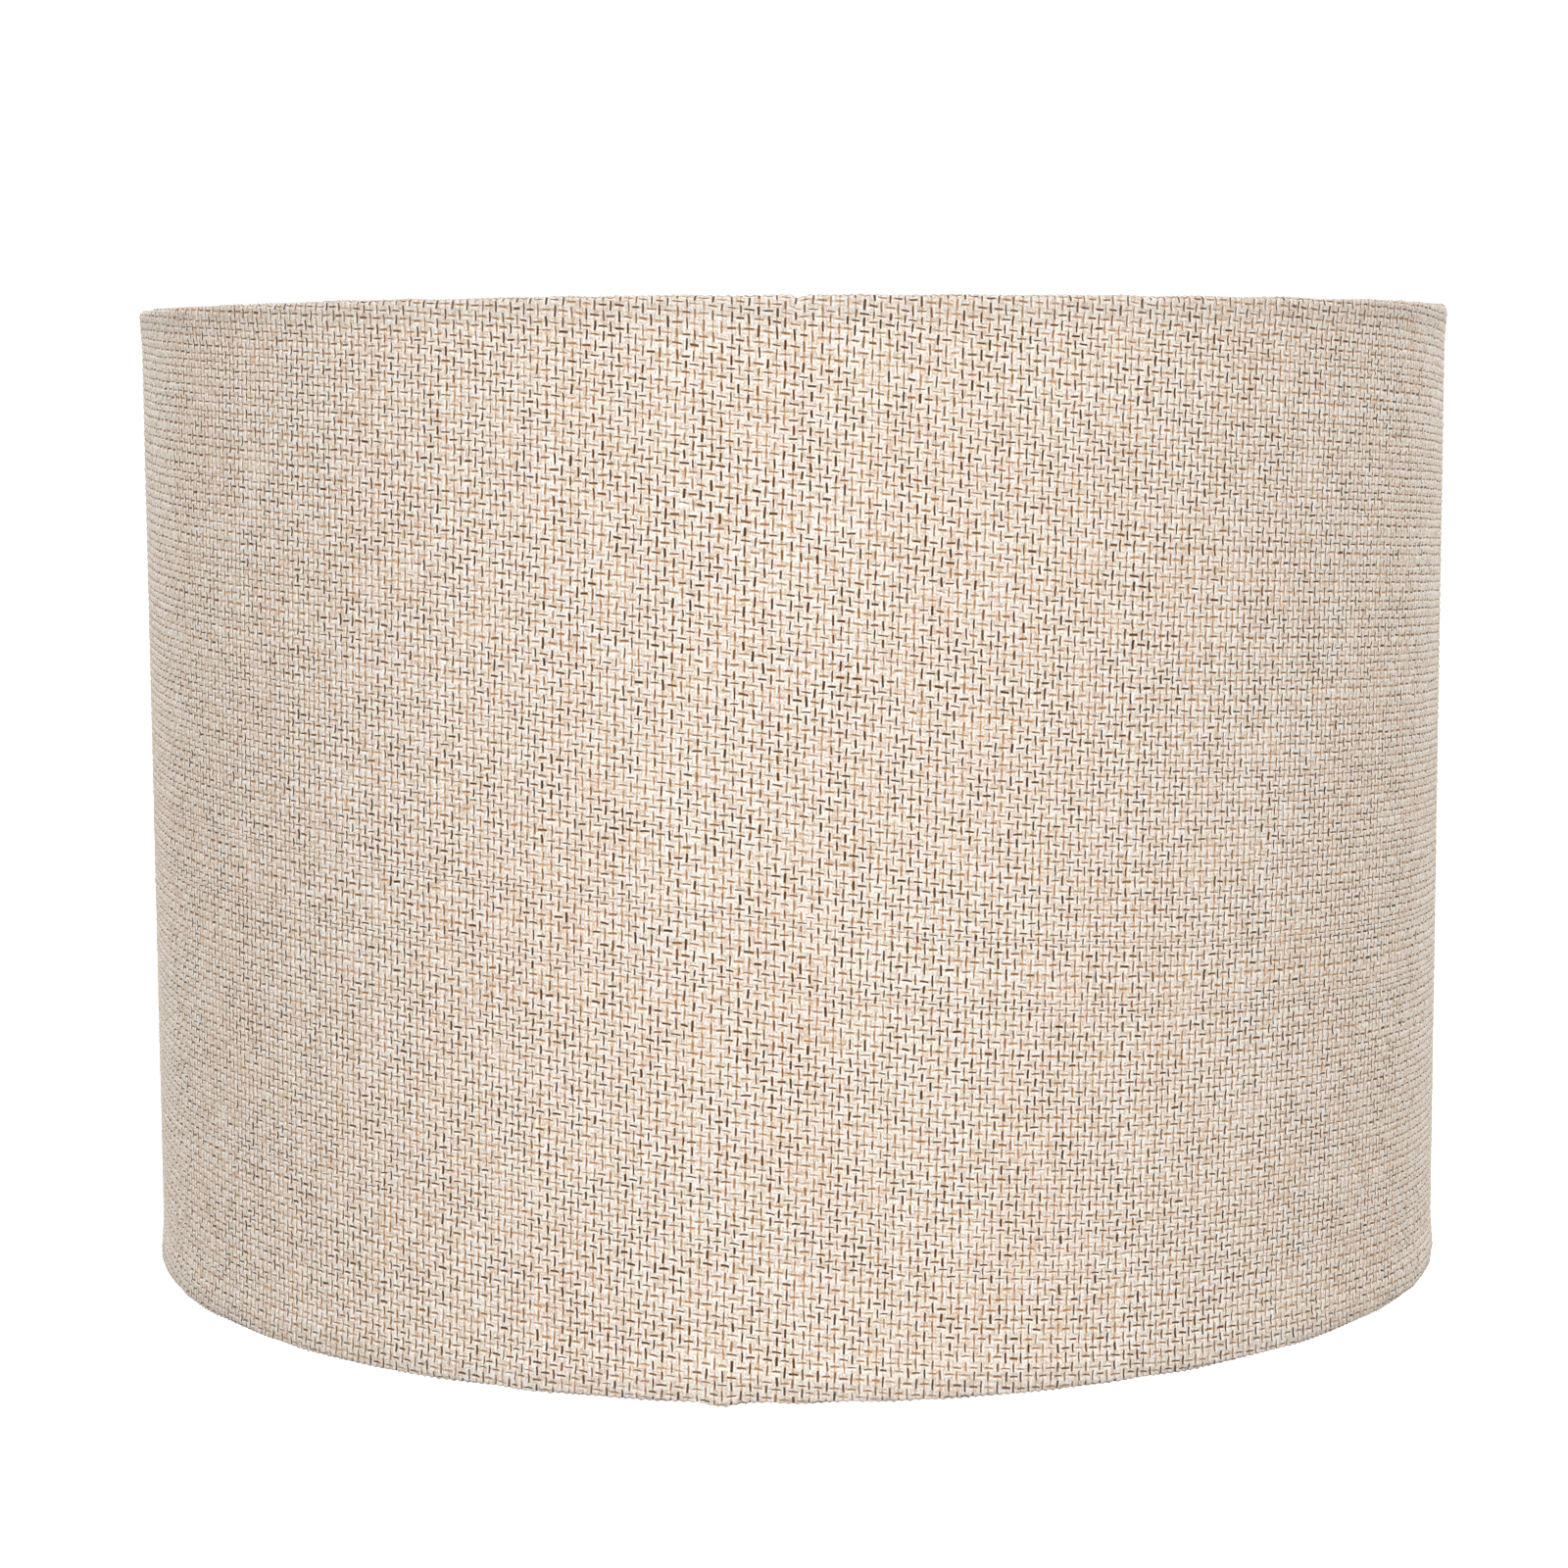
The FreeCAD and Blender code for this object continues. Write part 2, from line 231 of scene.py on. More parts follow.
def arc(centre, size, start, end, step=5.0):
    """Points of an arc in the section plane, in degrees from outwards towards up."""
    turn = np.radians(np.linspace(start, end, int(abs(end - start) / step) + 1))
    return np.stack([centre[0] + size * np.cos(turn), centre[1] + size * np.sin(turn)], axis=1)


class Section:
    """The cloth's outer face in section, from one tucked edge up the wall to the other."""

    def __init__(self):
        wall = RADIUS - WALL_INSET
        rim = wall + HEM_BULGE
        wrap = arc((HOOP_RADIUS, HOOP_Z), HOOP_Z, -TUCK_END, -90)
        corner = arc((rim - HEM_CORNER, HEM_CORNER), HEM_CORNER, -90, 0)
        band = np.linspace(HEM_CORNER, HEM_BAND, HEM_BAND_STEPS)[1:]
        ease = smooth((band - HEM_CORNER) / (HEM_BAND - HEM_CORNER))
        bulge = np.stack([rim - HEM_BULGE * ease, band], axis=1)
        half = np.concatenate([wrap, corner, bulge])
        line = np.concatenate([half, half[::-1] * (1, -1) + (0, HEIGHT)])
        length = np.concatenate([[0], np.cumsum(np.hypot(*np.diff(line, axis=0).T))])
        self.length = length[-1]
        self.corner = length[len(wrap)]
        self.steps = np.linspace(0, self.length, SECTION_STEPS)
        self.radius = np.interp(self.steps, length, line[:, 0])
        self.height = np.interp(self.steps, length, line[:, 1])
        along_r, along_z = (self.softened(np.gradient(a)) for a in (self.radius, self.height))
        size = np.hypot(along_r, along_z)
        self.out_r = along_z / size
        self.out_z = -along_r / size

    @staticmethod
    def softened(values):
        """A running mean over about a millimetre."""
        padded = np.pad(values, SOFTENED_STEPS // 2, mode="edge")
        return np.convolve(padded, np.full(SOFTENED_STEPS, 1 / SOFTENED_STEPS), mode="valid")

    def at(self, t):
        """Radius, height and outward direction at a length along the section."""
        lines = (self.radius, self.height, self.out_r, self.out_z)
        return (np.interp(t, self.steps, values) for values in lines)

    def past_corner(self, t):
        """How far a point is past the wall's corner, on its way over a hoop."""
        return np.maximum(self.corner - t, t - (self.length - self.corner)).clip(0)

    def past_top_corner(self, t):
        """The same at the top rim only, and less than zero elsewhere."""
        return t - (self.length - self.corner)


def lap_climb(s):
    """The share of the lap's rise along the sheet: two matched curves."""
    x = np.clip((s / RADIUS - (2 * math.pi - RAMP)) / RAMP, 0.0, 1.0)
    return np.where(x < 0.5, 2 * x * x, 1 - 2 * (1 - x) ** 2)


def weft_drop(s):
    """How far the weft has drifted down along the sheet. It slants most at the front."""
    places = np.linspace(0, SHEET_LENGTH, DROP_STEPS)
    from_front = SEAM + places / RADIUS - FRONT
    slant = np.radians(WEFT_SLANT + FRONT_SLANT * np.exp(-(from_front / FRONT_WIDTH) ** 2))
    drop = np.cumsum(np.tan(slant)) * (places[1] - places[0])
    return np.interp(s, places, drop)


def yarn_grid(rng, section):
    """Grid lines along the yarns' edges and centres: yarn numbers, lengths on the sheet, relief."""
    warps = round(SHEET_LENGTH / WARP_PITCH)
    wefts = round((section.length + weft_drop(SHEET_LENGTH)) / WEFT_PITCH) + SPARE_WEFTS
    columns, rows = 2 * warps + 1, 2 * wefts + 1
    column, row = np.arange(columns)[:, None], np.arange(rows)[None, :]
    u, v = np.broadcast_arrays(column / 2, row / 2)
    s = np.interp(u, np.arange(warps + 1), yarn_edges(rng, warps, SHEET_LENGTH, WARP_UNEVEN))
    t = np.interp(v, np.arange(wefts + 1), yarn_edges(rng, wefts, wefts * WEFT_PITCH, WEFT_UNEVEN))
    t = t - SPARE_WEFTS / 2 * WEFT_PITCH - weft_drop(s)
    loose = smooth(np.minimum(s, SHEET_LENGTH - s) / STRAIGHT_END)
    t = t + WANDER * with_edges(slow_noise(rng, wefts, columns, warps // WANDER_YARNS)).T
    lean = math.tan(WARP_LEAN) * (t - section.length / 2)
    s = s + loose * (lean + WANDER * with_edges(slow_noise(rng, warps, rows, wefts // WANDER_YARNS)))

    warp_over = (column // 2 + row // 2) % 2 == 0
    warp_thick = with_edges(slow_noise(rng, warps, rows, wefts // SLUB_YARNS))
    weft_thick = with_edges(slow_noise(rng, wefts, columns, warps // SLUB_YARNS)).T
    crown = SLUB * np.where(warp_over, warp_thick, weft_thick)
    on_warp, on_weft = np.broadcast_arrays(column % 2 == 1, row % 2 == 1)
    places = [on_warp & on_weft, on_weft, on_warp]
    relief = np.select(places, [crown, -WARP_EDGE, -WEFT_EDGE], -HOLE_DEPTH)

    inside = t.clip(0.0, section.length)
    v = v + (inside - t) / WEFT_PITCH
    return u, v, s, inside, relief


def spoke_columns(s, t, section):
    """The grid lines, on yarn edges, that run nearest to the spokes at the top rim."""
    at_rim = np.abs(section.past_top_corner(t)).argmin(axis=1)
    s_rim = s[np.arange(len(s)), at_rim]
    found = []
    for spoke in SPOKES:
        target = (spoke - SEAM) % (2 * math.pi) * RADIUS
        found.append(2 * int(np.abs(s_rim[::2] - target).argmin()))
    return sorted(found)


def opened_slits(s, t, pairs, section):
    """Pushes the cloth apart beside each slit. pairs are the two grid lines along its sides."""
    past = section.past_top_corner(t) - SLIT_START
    half_gap = np.interp(past, SLIT_PLACES, SLIT_HALF_GAPS)
    number = np.arange(len(s))[:, None]
    for left, _ in pairs:
        away = np.abs(s - s[left][None, :])
        side = np.where(number <= left, -1.0, 1.0)
        s = s + side * half_gap * np.exp(-away / SLIT_SPREAD)
    return s, past > 0


def uneven_rims(rng, turn, radius, height):
    """Small lifts and dips along both rims, a notch at each slit and a lump under the front."""
    knots = np.linspace(0, 4 * math.pi, RIM_WAVES)
    near_top = smooth((height - HEIGHT + RIM_REACH) / RIM_FADE)
    near_bottom = smooth((RIM_REACH - height) / RIM_FADE)
    for near, side in ((near_top, 1), (near_bottom, -1)):
        lift = np.interp(turn, knots, rng.normal(0, RIM_UNEVEN, len(knots)) - RIM_SETTLED)
        swell = np.interp(turn, knots, rng.normal(0, RIM_UNEVEN, len(knots)))
        height = height + side * near * lift
        radius = radius + near * swell
    for spoke in SPOKES:
        away = (turn - spoke - NOTCH_SHIFT + math.pi) % (2 * math.pi) - math.pi
        height = height - NOTCH_DEPTH * near_top * np.exp(-(away * RADIUS / NOTCH_WIDTH) ** 2)
    away = (turn - LUMP_TURN) * RADIUS
    lump = near_bottom * np.exp(-(away / LUMP_WIDTH) ** 2)
    return radius + LUMP_OUT * lump, height - LUMP_DOWN * lump


def cloth_sheet():
    """The whole cloth: points in millimetres, faces, and each point's place in the weave and flat."""
    rng = np.random.default_rng(CLOTH_SEED)
    section = Section()
    u, v, s, t, relief = yarn_grid(rng, section)
    cuts = spoke_columns(s, t, section)
    twice = np.sort(np.concatenate([np.arange(len(u)), cuts]))
    u, v, s, t, relief = (values[twice] for values in (u, v, s, t, relief))
    pairs = [(cut + order, cut + order + 1) for order, cut in enumerate(cuts)]
    s, in_slit = opened_slits(s, t, pairs, section)

    turn = SEAM + s / RADIUS
    radius, height, out_r, out_z = section.at(t)
    past = section.past_corner(t)
    climb = LAP_RISE * lap_climb(s) * (1 - smooth(past / RISE_FADE))
    radius, height = uneven_rims(rng, turn, radius + climb, height)
    radius, height = radius + out_r * relief, height + out_z * relief
    points = np.stack([radius * np.cos(turn), radius * np.sin(turn), height], axis=-1)
    inwards = np.stack([-out_r * np.cos(turn), -out_r * np.sin(turn), -out_z], axis=-1)

    index = np.arange(u.size).reshape(u.shape)
    for left, right in pairs:
        index[right] = np.where(in_slit[right], index[right], index[left])
    faces = np.stack([index[:-1, :-1], index[1:, :-1], index[1:, 1:], index[:-1, 1:]], axis=-1)
    used = (t[:-1, :-1] < t[:-1, 1:]) | (t[1:, :-1] < t[1:, 1:])
    used &= (s[:-1, :-1] >= LAP_WIDTH) | (past[:-1, :-1] < LAP_TRIM)
    for left, right in pairs:
        used[left] = False
    hem = smooth(HEM_SHADE_REACH - np.minimum(height, HEIGHT - height) / HEM_SHADE)
    values = np.stack([u, v, s, t, hem], axis=-1)

    edges = [(index[-1], (t[-1] > 0) & (t[-1] < section.length)),
             (index[0], past[0] < LAP_TRIM)]
    edges += [(index[column], in_slit[column]) for pair in pairs for column in pair]
    return stitched(points.reshape(-1, 3), inwards.reshape(-1, 3), values.reshape(-1, 5),
                    faces[used], [line[on] for line, on in edges])


def stitched(points, inwards, values, faces, raw_edges):
    """Adds the cloth's thickness along its visible raw edges, then drops unused points."""
    for line in raw_edges:
        start = len(points)
        points = np.concatenate([points, points[line] + inwards[line] * CLOTH])
        inwards = np.concatenate([inwards, inwards[line]])
        values = np.concatenate([values, values[line] + (CUT_END, 0, 0, 0, 0)])
        below = np.arange(start, start + len(line))
        strip = np.stack([line[:-1], line[1:], below[1:], below[:-1]], axis=-1)
        faces = np.concatenate([faces, strip])
    used, faces = np.unique(faces, return_inverse=True)
    return points[used], values[used], faces.reshape(-1, 4)


def new_mesh(name, points, faces):
    """A smooth-shaded object from points in millimetres."""
    mesh = bpy.data.meshes.new(name)
    mesh.from_pydata(points * MM, [], faces)
    mesh.polygons.foreach_set("use_smooth", np.ones(len(mesh.polygons), bool))
    piece = bpy.data.objects.new(name, mesh)
    bpy.context.scene.collection.objects.link(piece)
    return piece


def add_uv(piece, name, coordinates):
    """A UV map with one pair of coordinates for each corner of each face, in face order."""
    layer = piece.data.uv_layers.new(name=name)
    layer.data.foreach_set("uv", coordinates.astype(np.float32).ravel())


def flat_layout(s, t, strips=4, margin=2.0):
    """The unrolled sheet cut into strips and laid side by side, for maps of the finished surface."""
    width = SHEET_LENGTH / strips
    cell = max(width, t.max()) + 2 * margin
    strip = np.minimum(s.min(axis=1) // width, strips - 1)[:, None]
    x = (strip % 2) + (s - strip * width + margin) / cell
    y = (strip // 2) + (t + margin) / cell
    return np.stack([x, y], axis=-1) / 2


def linen_cover():
    """The cloth over the wall, rolled over both hoops."""
    points, values, faces = cloth_sheet()
    piece = new_mesh("linen_cover", points, faces)
    corners = values[faces]
    add_uv(piece, "weave", corners[..., :2])
    add_uv(piece, "OFBake", flat_layout(corners[..., 2], corners[..., 3]))
    hem = piece.data.attributes.new("hem", "FLOAT", "POINT")
    hem.data.foreach_set("value", values[:, 4].astype(np.float32))
    return piece


def lining_sheet():
    """The stiff white sheet behind the cloth, with the cloth's bumps faintly pressed into it."""
    rng = np.random.default_rng(LINING_SEED)
    s = np.linspace(0, SHEET_LENGTH, LINER_STEPS)
    low, high = LINER_LOW.z, LINER_HIGH.z
    z = np.concatenate([np.linspace(low, high, LINER_ROWS), [high, low]])
    depth = np.concatenate([np.full(LINER_ROWS, LINER), [0, 0]])
    ripple = np.zeros((LINER_STEPS, len(z)))
    ripple[:, :LINER_ROWS] = RIPPLE * slow_noise(rng, LINER_ROWS, LINER_STEPS, RIPPLE_WAVES).T
    radius = LINER_OUTSIDE + LAP_RISE * lap_climb(s)[:, None] - depth[None, :] - ripple.clip(0)
    turn = (SEAM + s / RADIUS)[:, None]
    points = np.stack([radius * np.cos(turn), radius * np.sin(turn),
                       np.broadcast_to(z, radius.shape)], axis=-1)
    index = np.arange(radius.size).reshape(radius.shape)
    after = np.roll(index, -1, axis=1)
    sides = np.stack([index[:-1], after[:-1], after[1:], index[1:]], axis=-1).reshape(-1, 4)
    faces = sides.tolist() + [index[0, ::-1].tolist(), index[-1].tolist()]
    piece = new_mesh("lining", points.reshape(-1, 3), faces)
    piece.data.set_sharp_from_angle(angle=math.radians(40))
    return piece


class Value:
    """One number of a material's node tree, which can be used in arithmetic."""

    def __init__(self, tree, socket):
        self.tree = tree
        self.socket = socket

    def maths(self, operation, *others):
        node = self.tree.nodes.new("ShaderNodeMath")
        node.operation = operation
        for slot, value in zip(node.inputs, (self, *others)):
            plug(self.tree, value, slot)
        return Value(self.tree, node.outputs[0])

    def __add__(self, other):
        return self.maths("ADD", other)

    def __sub__(self, other):
        return self.maths("SUBTRACT", other)

    def __mul__(self, other):
        return self.maths("MULTIPLY", other)

    def __truediv__(self, other):
        return self.maths("DIVIDE", other)

    def __rsub__(self, other):
        return self.maths("MULTIPLY_ADD", -1.0, other)

    def floor(self):
        return self.maths("FLOOR")

    def absolute(self):
        return self.maths("ABSOLUTE")

    def odd(self):
        """1 on odd whole numbers and 0 on even ones."""
        return self.maths("FLOORED_MODULO", 2.0)

    def step(self, low, high):
        """0 below low, 1 above high, and a soft edge between them."""
        node = self.tree.nodes.new("ShaderNodeMapRange")
        node.interpolation_type = "SMOOTHSTEP"
        plug(self.tree, self, node.inputs["Value"])
        node.inputs["From Min"].default_value = low
        node.inputs["From Max"].default_value = high
        return Value(self.tree, node.outputs["Result"])


def plug(tree, value, slot):
    """Links a value to a socket, or sets it if it is a plain number."""
    if isinstance(value, Value):
        tree.links.new(value.socket, slot)
    else:
        slot.default_value = value


class Material:
    """A principled material and the nodes that feed it."""

    def __init__(self, name, roughness=0.5):
        self.material = bpy.data.materials.new(name)
        self.material.use_nodes = True
        self.tree = self.material.node_tree
        self.surface = self.tree.nodes["Principled BSDF"]
        self.surface.inputs["Roughness"].default_value = roughness

    def uv(self, name):
        """The two numbers of a UV map."""
        node = self.tree.nodes.new("ShaderNodeUVMap")
        node.uv_map = name
        return self.split(node.outputs["UV"])[:2]

    def split(self, socket):
        parts = self.tree.nodes.new("ShaderNodeSeparateXYZ")
        self.tree.links.new(socket, parts.inputs[0])
        return [Value(self.tree, part) for part in parts.outputs]

    def place(self):
        """The point's place on the object, in metres."""
        node = self.tree.nodes.new("ShaderNodeTexCoord")
        return self.split(node.outputs["Object"])

    def attribute(self, name):
        node = self.tree.nodes.new("ShaderNodeAttribute")
        node.attribute_name = name
        return Value(self.tree, node.outputs["Fac"])

    def vector(self, *numbers):
        node = self.tree.nodes.new("ShaderNodeCombineXYZ")
        for slot, number in zip(node.inputs, numbers):
            plug(self.tree, number, slot)
        return node.outputs[0]

    def noise(self, x, y, z=0.0, scale=1.0, detail=2.0):
        """Smooth noise, mostly between 0.3 and 0.7."""
        node = self.tree.nodes.new("ShaderNodeTexNoise")
        self.tree.links.new(self.vector(x, y, z), node.inputs["Vector"])
        node.inputs["Scale"].default_value = scale
        node.inputs["Detail"].default_value = detail
        return Value(self.tree, node.outputs[0])

    def chance(self, x, y, z=0.0):
        """A random number from 0 to 1 that is the same wherever x, y and z are."""
        node = self.tree.nodes.new("ShaderNodeTexWhiteNoise")
        self.tree.links.new(self.vector(x, y, z), node.inputs["Vector"])
        return Value(self.tree, node.outputs["Value"])

    def mix(self, share, first, second):
        """A colour between two, which are sockets or red, green and blue."""
        node = self.tree.nodes.new("ShaderNodeMix")
        node.data_type = "RGBA"
        plug(self.tree, share, node.inputs[0])
        for slot, colour in zip((node.inputs[6], node.inputs[7]), (first, second)):
            if isinstance(colour, tuple):
                slot.default_value = (*colour, 1.0)
            else:
                self.tree.links.new(colour, slot)
        return node.outputs[2]

    def colour(self, socket):
        self.tree.links.new(socket, self.surface.inputs["Base Color"])

    def rough(self, value):
        self.tree.links.new(value.socket, self.surface.inputs["Roughness"])

    def bump(self, height, distance, strength=1.0):
        """Relief from a height of 0 to 1 that stands for a distance in metres."""
        node = self.tree.nodes.new("ShaderNodeBump")
        node.inputs["Strength"].default_value = strength
        node.inputs["Distance"].default_value = distance
        self.tree.links.new(height.socket, node.inputs["Height"])
        self.tree.links.new(node.outputs[0], self.surface.inputs["Normal"])


def yarn_height(over, along, across, half_width, swing):
    """Height of one yarn in yarn units: it swings over and under, and is round in section."""
    path = over * (along * math.pi).maths("SINE") * swing
    body = 1.0 - (across / half_width).maths("POWER", 2.0)
    outside = (0.0 - body).maths("MAXIMUM", 0.0)
    return path + body.maths("MAXIMUM", 0.0).maths("SQRT") * 0.5 - outside * 2.0


def slit(m, u, v):
    """The slit at each corner between four crossings, upright and level ones by turns, painted dark
    as shade.

    Gives its painted shade and the lit fibres along both its sides, a painted highlight.
    """
    edge_u, edge_v = (u + 0.5).floor(), (v + 0.5).floor()
    upright = 1.0 - (edge_u + edge_v).odd()
    level = 1.0 - upright
    across = (u - edge_u) * upright + (v - edge_v) * level
    along = (v - edge_v) * upright + (u - edge_u) * level
    tilt = (m.chance(edge_u, edge_v, 1.2) - 0.5) * 0.2 * along
    away = (across + tilt + (m.chance(edge_u, edge_v, 2.2) - 0.5) * 0.16).absolute()
    width = m.chance(edge_u, edge_v, 3.2) * 0.05 + upright * 0.02 + 0.064
    length = m.chance(edge_u, edge_v, 4.2) * 0.14 + 0.40
    inside = 1.0 - (along.absolute() - length).step(0.0, 0.10)
    depth = (m.chance(edge_u, edge_v, 5.2) * 0.6 + 0.4) * (upright * 0.22 + 0.74)
    thin_place = m.noise(edge_u * 0.21, edge_v * 0.21, 6.2, detail=1.0).step(0.3, 0.6) * 0.4 + 0.6
    # painted shade in the slit, and a painted highlight on the fibres beside it
    slit_shade = (1.0 - (away / width).step(0.2, 1.5)) * inside * depth * thin_place
    lit = (1.0 - (away - width - 0.13).absolute().step(0.02, 0.12)) * inside
    return slit_shade, lit


def shaded_edge(m, place, along, seed):
    """Painted shade: a soft brownish line that comes and goes along a yarn's edge, where it meets the
    next yarn.
    """
    edge = (place + 0.5).floor()
    shown = m.noise(edge * 5.17, along * 0.4, seed, detail=1.0).step(0.34, 0.58)
    return (1.0 - (place - edge).absolute().step(0.03, 0.15)) * shown


def linen():
    """Coarse natural linen: cream and tan yarns over and under, with painted shade in the gaps and
    along the edges between them, and painted highlights beside the gaps.
    """
    m = Material("linen")
    u, v = m.uv("weave")
    warp, weft = u.floor(), v.floor()
    across_warp, across_weft = u - warp - 0.5, v - weft - 0.5
    warp_run = m.noise(warp * 7.31, v * 0.16, 3.7)
    weft_run = m.noise(u * 0.16, weft * 7.31, 9.1)
    warp_height = yarn_height(1.0 - warp.odd() * 2.0, v, across_warp, warp_run * 0.36 + 0.30, 0.22)
    weft_height = yarn_height(weft.odd() * 2.0 - 1.0, u, across_weft, weft_run * 0.30 + 0.34, 0.18)
    warp_on_top = (warp_height - weft_height).step(-0.08, 0.08)
    top = warp_height.maths("MAXIMUM", weft_height)

    slit_shade, lit = slit(m, u, v)
    edge_shade = shaded_edge(m, u, v, 4.1).maths("MAXIMUM", shaded_edge(m, v, u, 8.6) * 0.6)
    plies_warp = m.noise(u * 4.3, v * 0.9 + warp * 3.3, 1.3, detail=2.0)
    plies_weft = m.noise(u * 0.9 + weft * 3.3, v * 4.3, 6.4, detail=2.0)
    plies = plies_warp * warp_on_top + plies_weft * (1.0 - warp_on_top)
    tint = m.noise(u * 1.9, v * 1.9, 5.5)
    speck = m.noise(u * 5.0, v * 5.0, 7.9, detail=0.0)
    run = warp_run * warp_on_top + weft_run * (1.0 - warp_on_top)
    patch = m.noise(u * 0.07, v * 0.035, 2.0, detail=3.0).step(0.38, 0.66)
    cream = m.mix(tint.step(0.40, 0.60), CREAM, YELLOW_CREAM)
    cream = m.mix(patch * 0.6, cream, PATCH_TAN)
    yarn = m.mix(m.chance(warp, weft, 7.7) * 0.22, cream, GREY_BEIGE)
    yarn = m.mix(plies.step(0.46, 0.62) * 0.7, yarn, FIBRE_SHADE)
    yarn = m.mix(run.step(0.56, 0.72) * 0.4, yarn, THICK_RUN)
    yarn = m.mix(speck.step(0.58, 0.72) * 0.6, yarn, BROWN_FLECK)
    yarn = m.mix((1.0 - speck.step(0.32, 0.46)) * 0.6, yarn, PALE_FLECK)
    yarn = m.mix(lit * (1.0 - plies.step(0.48, 0.62)) * 0.9, yarn, LIT_FIBRE)
    # painted shade along the yarns' edges
    yarn = m.mix(edge_shade * 0.8, yarn, EDGE_SHADE_BROWN)
    # painted shade in the slits between yarns, brown at the edge and near black in the middle
    yarn = m.mix(slit_shade.step(0.0, 0.30), yarn, SLIT_EDGE_SHADE)
    yarn = m.mix(slit_shade.step(0.18, 0.66), yarn, SLIT_SHADE)
    # darker, greyer band near both rims: partly painted shade where the cloth rolls over the hoops,
    # partly the hem's greyer tone
    m.colour(m.mix(m.attribute("hem") * 0.16, yarn, HEM_GREY))
    m.rough(plies * 0.2 + 0.76)
    m.bump((top + 0.4) * 0.75 - plies * 0.22 - slit_shade * 0.4, 0.0006, 1.0)
    sheen(m, 0.06)
    m.surface.inputs["Specular IOR Level"].default_value = 0.2
    return m.material


def sheen(m, weight):
    """Light caught by loose fibres at grazing angles."""
    m.surface.inputs["Sheen Weight"].default_value = weight
    m.surface.inputs["Sheen Roughness"].default_value = 0.5
    m.surface.inputs["Sheen Tint"].default_value = (1.0, 0.95, 0.9, 1.0)


def lining_plastic():
    """White laminating sheet, satin, with a faint print of the cloth behind it."""
    m = Material("lining_plastic")
    x, y, z = m.place()
    cloud = m.noise(x, y, z, scale=26.0)
    pores = m.noise(x, y, z, scale=900.0, detail=1.0)
    turn = y.maths("ARCTAN2", x)
    weave = (turn * round(math.pi * RADIUS / WARP_PITCH)).maths("SINE")
    weave = weave * (z * (math.pi / (WEFT_PITCH * MM))).maths("SINE")
    white = m.mix(cloud.step(0.3, 0.7), LINING_CREAM, LINING_WHITE)
    m.colour(m.mix(weave.step(-0.2, 0.6) * 0.25, white, CLOTH_BEHIND))
    m.rough(cloud * 0.2 + 0.38)
    m.bump(pores * 0.4 + weave, 0.00005, 0.6)
    return m.material


def powder_coat(name, tint):
    """White powder coat: a slight orange peel, and grey where it is thin."""
    m = Material(name)
    x, y, z = m.place()
    peel = m.noise(x, y, z, scale=1600.0, detail=1.0)
    cloud = m.noise(x, y, z, scale=140.0)
    m.colour(m.mix(cloud.step(0.42, 0.72), tint, tuple(0.9 * c for c in tint)))
    m.rough(peel * 0.25 + 0.25)
    m.bump(peel, 0.00005, 0.5)
    return m.material


def moulded_plastic():
    """White polypropylene with a fine spark-eroded grain."""
    m = Material("moulded_plastic")
    x, y, z = m.place()
    grain = m.noise(x, y, z, scale=2600.0, detail=1.0)
    flow = m.noise(x * 60.0, y * 60.0, z * 240.0)
    m.colour(m.mix(flow.step(0.35, 0.7), MOULDED_WHITE, MOULDED_FLOW))
    m.rough(grain * 0.25 + 0.3)
    m.bump(grain, 0.00004, 0.5)
    m.surface.inputs["Subsurface Weight"].default_value = 0.08
    m.surface.inputs["Subsurface Radius"].default_value = (0.003, 0.003, 0.0025)
    return m.material


def paper_tape():
    """Thin double-sided tape, slightly glossy and a little yellow."""
    m = Material("paper_tape")
    x, y, z = m.place()
    creases = m.noise(x * 300.0, y * 300.0, z * 900.0)
    # painted shade in the creases
    m.colour(m.mix(creases.step(0.4, 0.65), TAPE_PALE, TAPE_CREASE_SHADE))
    m.rough(creases * 0.3 + 0.25)
    m.bump(creases, 0.00008, 0.6)
    return m.material


def dress(piece, material):
    """Gives a whole piece one material."""
    piece.data.materials.clear()
    piece.data.materials.append(material)


def floor_white():
    """A white studio floor that stays bright into the distance."""
    m = Material("floor_white", roughness=0.9)
    m.surface.inputs["Base Color"].default_value = FLOOR_WHITE
    m.surface.inputs["Emission Color"].default_value = (1.0, 1.0, 1.0, 1.0)
    m.surface.inputs["Emission Strength"].default_value = FLOOR_GLOW
    return m.material


def area_light(name, place, width, height, power, tint):
    """A soft rectangular light aimed at the shade's middle and not seen by the camera."""
    data = bpy.data.lights.new(name, "AREA")
    data.shape = "RECTANGLE"
    data.size, data.size_y = width, height
    data.energy = power
    data.color = tint
    light = bpy.data.objects.new(name, data)
    light.location = place
    forward = Vector(AIM) - Vector(place)
    light.rotation_euler = forward.to_track_quat("-Z", "Y").to_euler()
    light.visible_camera = False
    bpy.context.scene.collection.objects.link(light)


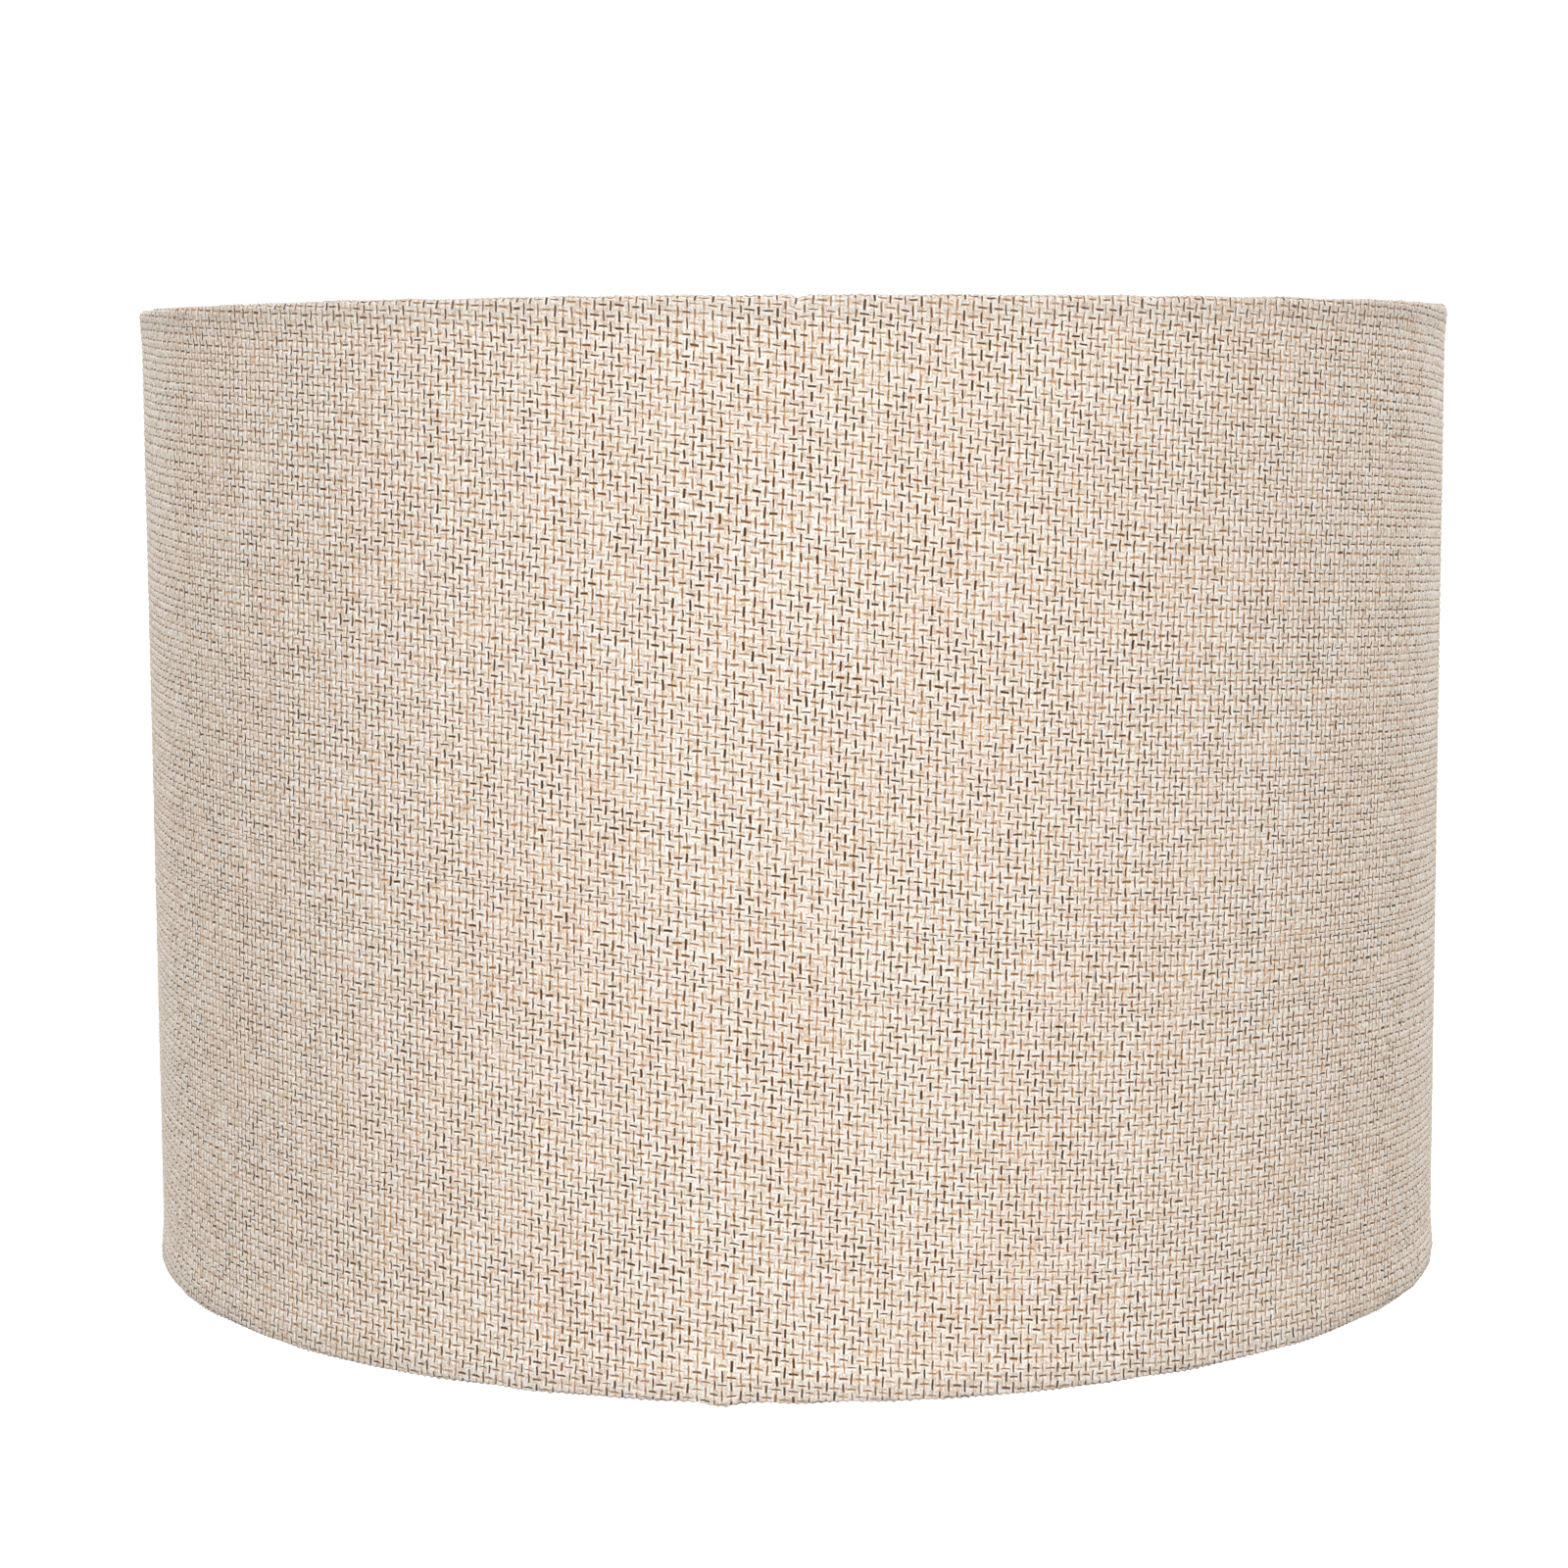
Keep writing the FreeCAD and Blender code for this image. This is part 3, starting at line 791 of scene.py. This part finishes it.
def studio():
    """Plain pale floor, white surroundings and large soft lights."""
    scene = bpy.context.scene
    mesh = bpy.data.meshes.new("floor")
    corners = [(x * FLOOR_REACH, y * FLOOR_REACH, FLOOR_LEVEL)
               for x, y in ((-1, -1), (1, -1), (1, 1), (-1, 1))]
    mesh.from_pydata(corners, [], [(0, 1, 2, 3)])
    floor = bpy.data.objects.new("floor", mesh)
    scene.collection.objects.link(floor)
    floor.visible_diffuse = False
    dress(floor, floor_white())

    world = bpy.data.worlds.new("surroundings")
    world.use_nodes = True
    scene.world = world
    tree = world.node_tree
    background = tree.nodes["Background"]
    background.inputs["Color"].default_value = (1.0, 1.0, 1.0, 1.0)
    path = tree.nodes.new("ShaderNodeLightPath")
    strength = Value(tree, path.outputs["Is Camera Ray"]) * (SKY_SEEN - SKY_LIGHT) + SKY_LIGHT
    tree.links.new(strength.socket, background.inputs["Strength"])

    for name, setting in LIGHTS.items():
        area_light(name, *setting)
    scene.view_settings.view_transform = "Standard"


def camera():
    """The camera, a little above the middle and looking slightly down."""
    ahead = Vector((math.sin(CAMERA_YAW), math.cos(CAMERA_YAW), 0.0))
    forward = math.cos(CAMERA_PITCH) * ahead - Vector((0.0, 0.0, math.sin(CAMERA_PITCH)))
    level = Vector((math.cos(CAMERA_YAW), -math.sin(CAMERA_YAW), 0.0))
    upright = level.cross(forward)
    right = math.cos(CAMERA_ROLL) * level + math.sin(CAMERA_ROLL) * upright
    up = math.cos(CAMERA_ROLL) * upright - math.sin(CAMERA_ROLL) * level
    data = bpy.data.cameras.new("camera")
    data.lens = CAMERA_LENS
    data.sensor_width = CAMERA_SENSOR
    data.clip_start = 0.01
    view = bpy.data.objects.new("camera", data)
    view.matrix_world = Matrix((right, up, -forward)).transposed().to_4x4()
    view.location = CAMERA_PLACE
    bpy.context.scene.collection.objects.link(view)
    bpy.context.scene.camera = view


def pieces():
    """Every visible piece with its material. The cloth and the lining also join the shade's body."""
    cover = linen_cover()
    dress(cover, linen())
    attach(cover, "shade")
    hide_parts("outer_cover")
    lining = lining_sheet()
    dress(lining, lining_plastic())
    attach(lining, "shade")
    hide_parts("inner_liner")

    wire = powder_coat("coated_wire", WIRE_WHITE)
    for node in ("top_ring", "bottom_ring", "spoke_front", "spoke_back_right", "spoke_back_left",
                 "spoke_rim_welds", "spoke_fitter_welds"):
        dress(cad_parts[node], wire)
    dress(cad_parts["fitter_ring"], powder_coat("coated_sheet", SHEET_WHITE))
    dress(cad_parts["reducer_ring"], moulded_plastic())
    tape = paper_tape()
    for node in ("seam_tape", "top_ring_tape", "bottom_ring_tape"):
        dress(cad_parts[node], tape)


camera()
studio()
pieces()
